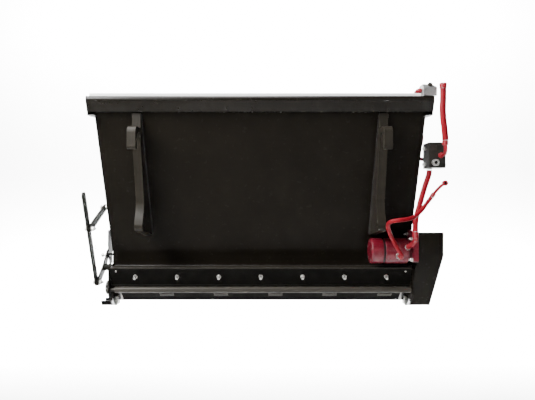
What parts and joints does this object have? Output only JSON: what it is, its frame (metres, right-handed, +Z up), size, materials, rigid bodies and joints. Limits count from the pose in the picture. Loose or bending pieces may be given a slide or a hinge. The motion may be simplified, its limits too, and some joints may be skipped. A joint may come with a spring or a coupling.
{
  "type": "tailgate salt spreader",
  "caption": "Undercut hopper that hooks on a tailgate and meters salt through a hydraulically driven rotor, a lever-worked gate and a clean-out flap.",
  "frame": {"origin": "midpoint between the two hanger hook seats", "axes": "+X along the hopper towards the chain casing, +Y away from the vehicle, +Z up"},
  "size_m": [1.649, 0.767, 1.0368],
  "materials": {
    "black_paint": "gloss",
    "zinc": "satin",
    "maroon_paint": "gloss",
    "red_hose": "satin",
    "red_fitting": "gloss",
    "grey_valve": "satin",
    "seal_rubber": "matte",
    "bare_steel": "satin"
  },
  "bodies": {
    "hopper": {"front_wall": "black_paint", "rear_wall": "black_paint", "left_end_plate": "black_paint", "right_end_plate": "black_paint", "rim_front": "black_paint", "rim_rear": "black_paint", "rim_left": "black_paint", "rim_right": "black_paint", "left_hanger_bracket": "black_paint", "right_hanger_bracket": "black_paint", "trough_ledge": "black_paint", "wiper_plate": "black_paint", "trough_rear_plate": "black_paint", "left_foot": "black_paint", "gate_quadrant": "black_paint", "casing_back_plate": "black_paint", "casing_cover": "black_paint", "valve_block": "black_paint", "motor_ring": "black_paint", "wiper_stud_strip": "zinc", "flap_hinge_rod": "zinc", "left_flap_adjuster": "zinc", "right_flap_adjuster": "zinc", "strap_anchor_bolt": "zinc", "block_port": "zinc", "hose_b_block_fitting": "zinc", "wiper_rubber": "seal_rubber", "left_bearing": "bare_steel", "right_bearing": "bare_steel", "drive_chain": "bare_steel", "motor_end_cap": "maroon_paint", "motor_housing": "maroon_paint", "motor_flange": "maroon_paint", "flow_valve_body": "grey_valve", "hose_a": "red_hose", "hose_b": "red_hose", "hose_c": "red_hose", "hose_d": "red_hose", "hose_a_elbow": "red_fitting", "hose_a_end": "red_fitting", "hose_b_motor_fitting": "red_fitting", "hose_c_motor_fitting": "red_fitting", "hose_c_swivel": "red_fitting", "hose_d_valve_fitting": "red_fitting", "hose_d_block_fitting": "red_fitting"},
    "rotor": {"rotor_shaft": "bare_steel", "rotor_paddles": "bare_steel", "driven_sprocket": "bare_steel"},
    "motor_rotor": {"motor_shaft": "bare_steel", "drive_sprocket": "bare_steel"},
    "gate": {"gate_shaft": "bare_steel", "gate_plate": "black_paint", "gate_lever": "black_paint", "lever_pivot_bolt": "zinc"},
    "handle": {"handle_bar": "black_paint", "strap_pivot_bolt": "zinc"},
    "strap": {"upper_strap": "black_paint"},
    "flap": {"clean_out_flap": "black_paint"},
    "knob": {"flow_valve_knob": "grey_valve"},
    "lock": {"lock_pin": "zinc"}
  },
  "joints": [
    {"name": "rotor_spin", "type": "hinge", "parent": "hopper", "child": "rotor", "pos_m": [0, 0.35, -0.696], "axis": [1, 0, 0], "continuous": true},
    {"name": "motor_spin", "type": "hinge", "parent": "hopper", "child": "motor_rotor", "pos_m": [0.7, 0.22, -0.5008], "axis": [1, 0, 0], "continuous": true},
    {"name": "gate_swing", "type": "hinge", "parent": "hopper", "child": "gate", "pos_m": [0, 0.322, -0.5915], "axis": [-1, 0, 0], "range_deg": [0, 20]},
    {"name": "handle_swing", "type": "hinge", "parent": "gate", "child": "handle", "pos_m": [-0.7835, 0.2314, -0.6513], "axis": [-1, 0, 0], "range_deg": [-20, 0]},
    {"name": "strap_swing", "type": "hinge", "parent": "hopper", "child": "strap", "pos_m": [-0.775, 0.334, -0.297], "axis": [-1, 0, 0], "range_deg": [0, 10]},
    {"name": "flap_swing", "type": "hinge", "parent": "hopper", "child": "flap", "pos_m": [0, 0.25, -0.691], "axis": [-1, 0, 0], "range_deg": [0, 60]},
    {"name": "knob_turn", "type": "hinge", "parent": "hopper", "child": "knob", "pos_m": [0.7359, 0.00345, 0.23605], "axis": [0, -0.7071, 0.7071], "range_deg": [0, 270]},
    {"name": "lock_pin_pull", "type": "slide", "parent": "gate", "child": "lock", "axis": [-1, 0, 0], "range_m": [0, 0.025]}
  ],
  "couplings": [
    {"joint": "motor_spin", "follows": "rotor_spin", "ratio": 1.0833},
    {"joint": "handle_swing", "follows": "gate_swing", "ratio": -0.9612},
    {"joint": "strap_swing", "follows": "gate_swing", "ratio": 0.4638}
  ]
}
